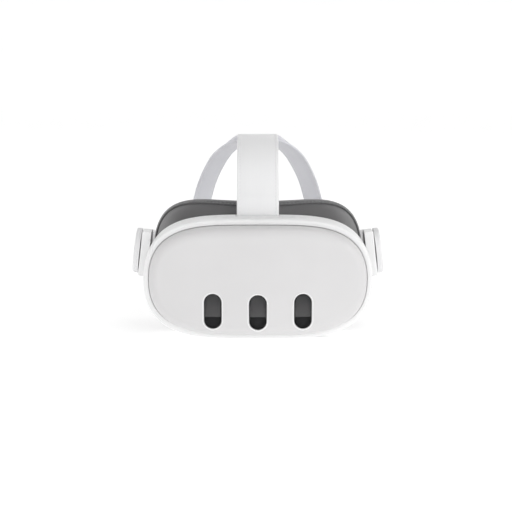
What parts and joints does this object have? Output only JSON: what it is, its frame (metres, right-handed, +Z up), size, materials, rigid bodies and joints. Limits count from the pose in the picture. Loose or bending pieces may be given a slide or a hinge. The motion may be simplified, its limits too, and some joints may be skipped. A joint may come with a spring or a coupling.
{
  "type": "vr headset",
  "caption": "Standalone white visor with dark sensor windows, adjustable lenses, a soft face interface and a split fabric headstrap on side hubs.",
  "frame": {"origin": "on the table, in the middle of the flat foot under the visor, at the chassis's mid-depth", "axes": "+X to the wearer's left, -Y the way the wearer looks, +Z up"},
  "size_m": [0.2084, 0.2346, 0.157],
  "materials": {
    "white_shell": "satin, fine moulded texture",
    "window_glass": "dark smoked, polished",
    "dark_plastic": "fine matt",
    "grey_plastic": "satin",
    "board": "solder mask",
    "aluminium": "bead blasted",
    "steel": "polished",
    "gold": "plated",
    "cell_wrap": "film",
    "clear_lens": "polished",
    "panel_glass": "glossy",
    "pad_fabric": "soft knit over foam",
    "skirt_rubber": "soft matt",
    "strap_fabric": "woven elastic",
    "strap_plastic": "satin",
    "led_lens": "frosted"
  },
  "bodies": {
    "visor": {"faceplate": "white_shell", "window_left": "window_glass", "window_center": "window_glass", "window_right": "window_glass", "chassis": "white_shell", "midframe": "grey_plastic", "chassis_screws": "steel", "mainboard": "board", "heat_sink": "aluminium", "fan_housing": "dark_plastic", "battery": "cell_wrap", "camera_module_left": "dark_plastic", "camera_module_right": "dark_plastic", "depth_sensor": "dark_plastic", "side_camera_left": "dark_plastic", "side_camera_right": "dark_plastic", "lens_rails": "steel", "wheel_axle": "steel", "eye_panel": "dark_plastic", "proximity_sensor": "dark_plastic", "status_led": "led_lens", "usb_port": "steel", "audio_jack": "dark_plastic", "charging_contacts": "gold", "arm_left": "white_shell", "arm_right": "white_shell", "speaker_left": "dark_plastic", "speaker_right": "dark_plastic", "speaker_cover_left": "dark_plastic", "speaker_cover_right": "dark_plastic", "strap_bar": "steel", "top_strap_loop": "strap_fabric"},
    "headstrap": {"strap_hub_left": "strap_plastic", "strap_hub_right": "strap_plastic", "side_strap_left": "strap_fabric", "side_strap_right": "strap_fabric", "rear_band": "strap_fabric", "yoke_left": "strap_fabric", "yoke_right": "strap_fabric", "top_strap": "strap_fabric"},
    "slider_left": {"slider_left": "strap_plastic"},
    "slider_right": {"slider_right": "strap_plastic"},
    "face_interface": {"face_frame": "dark_plastic", "face_skirt": "skirt_rubber", "face_pad": "pad_fabric"},
    "release_button_left": {"release_button_left": "dark_plastic"},
    "release_button_right": {"release_button_right": "dark_plastic"},
    "lens_left": {"lens_barrel_left": "dark_plastic", "display_left": "panel_glass", "lens_glass_left": "clear_lens", "rack_left": "dark_plastic"},
    "lens_right": {"lens_barrel_right": "dark_plastic", "display_right": "panel_glass", "lens_glass_right": "clear_lens", "rack_right": "dark_plastic"},
    "ipd_wheel": {"ipd_wheel": "dark_plastic"},
    "power_button": {"power_button": "white_shell"},
    "volume_rocker": {"volume_rocker": "white_shell"},
    "fan_rotor": {"fan_rotor": "dark_plastic"}
  },
  "joints": [
    {"name": "strap_tilt", "type": "hinge", "parent": "visor", "child": "headstrap", "pos_m": [0, 0.036, 0.0636], "axis": [1, 0, 0], "range_deg": [-15, 5]},
    {"name": "slider_left_slide", "type": "slide", "parent": "headstrap", "child": "slider_left", "axis": [-0.1364, 0.985, -0.1061], "range_m": [0, 0.0245]},
    {"name": "slider_right_slide", "type": "slide", "parent": "headstrap", "child": "slider_right", "axis": [0.1364, 0.985, -0.1061], "range_m": [0, 0.0245]},
    {"name": "face_depth", "type": "slide", "parent": "visor", "child": "face_interface", "axis": [0, 1, 0], "range_m": [0, 0.008]},
    {"name": "release_left_press", "type": "slide", "parent": "face_interface", "child": "release_button_left", "axis": [1, 0, 0], "range_m": [0, 0.0015], "stiffness_N_per_m": 800, "springref_m": -0.0005},
    {"name": "release_right_press", "type": "slide", "parent": "face_interface", "child": "release_button_right", "axis": [-1, 0, 0], "range_m": [0, 0.0015], "stiffness_N_per_m": 800, "springref_m": -0.0005},
    {"name": "lens_left_slide", "type": "slide", "parent": "visor", "child": "lens_left", "axis": [1, 0, 0], "range_m": [-0.003, 0.003]},
    {"name": "lens_right_slide", "type": "slide", "parent": "visor", "child": "lens_right", "axis": [1, 0, 0], "range_m": [-0.003, 0.003]},
    {"name": "ipd_wheel_turn", "type": "hinge", "parent": "visor", "child": "ipd_wheel", "pos_m": [0.05, -0.0066, 0.014], "axis": [0, 1, 0], "range_deg": [-72, 72]},
    {"name": "power_press", "type": "slide", "parent": "visor", "child": "power_button", "axis": [-0.995, 0, 0.0995], "range_m": [0, 0.0006], "stiffness_N_per_m": 1500, "springref_m": -0.0003},
    {"name": "volume_rock", "type": "hinge", "parent": "visor", "child": "volume_rocker", "pos_m": [-0.07371, 0, 0.01416], "axis": [0, 1, 0], "range_deg": [-3, 3], "stiffness_Nm_per_rad": 0.4},
    {"name": "fan_spin", "type": "hinge", "parent": "visor", "child": "fan_rotor", "pos_m": [-0.054, -0.0166, 0.056], "axis": [0, 1, 0], "continuous": true}
  ],
  "couplings": [
    {"joint": "lens_right_slide", "follows": "lens_left_slide", "ratio": -1},
    {"joint": "ipd_wheel_turn", "follows": "lens_left_slide", "rad_per_m": 416.67}
  ]
}
